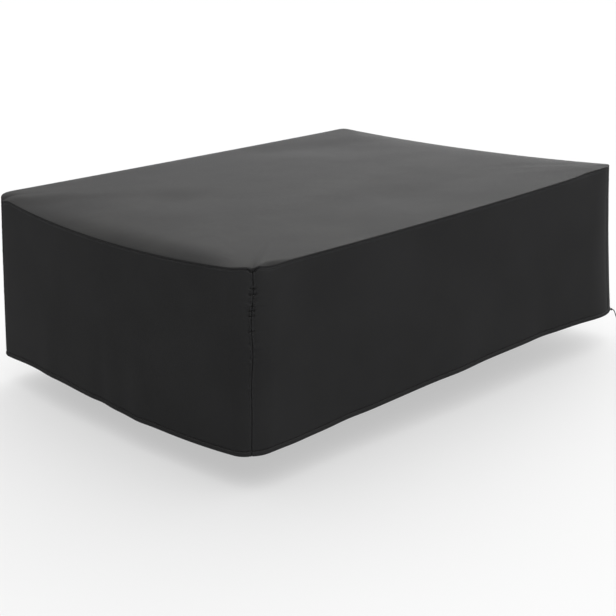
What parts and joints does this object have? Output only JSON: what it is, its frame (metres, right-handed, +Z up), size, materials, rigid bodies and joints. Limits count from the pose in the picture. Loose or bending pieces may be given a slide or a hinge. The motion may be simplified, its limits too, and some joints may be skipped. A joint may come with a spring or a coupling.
{
  "type": "fitted patio furniture cover",
  "caption": "Rectangular fitted cover of black coated cloth: flat top, skirts sewn at rounded corners, and a drawcord hem open below, hollow, in its hanging shape.",
  "frame": {"origin": "middle of the top's underside, where the cover is carried", "axes": "+X along the long sides, towards the corner with the drawcord, +Y towards the back long side, +Z up"},
  "size_m": [2.1546, 1.6994, 0.7827],
  "materials": {
    "cover_cloth": "matt black coated polyester weave",
    "cord": "black braided cord"
  },
  "bodies": {
    "root": {"top_panel": "cover_cloth", "front_skirt": "cover_cloth", "right_skirt": "cover_cloth", "back_skirt": "cover_cloth", "left_skirt": "cover_cloth", "drawcord_stop_knot": "cord", "drawcord_tail": "cord", "drawcord_end_knot": "cord"}
  },
  "joints": []
}
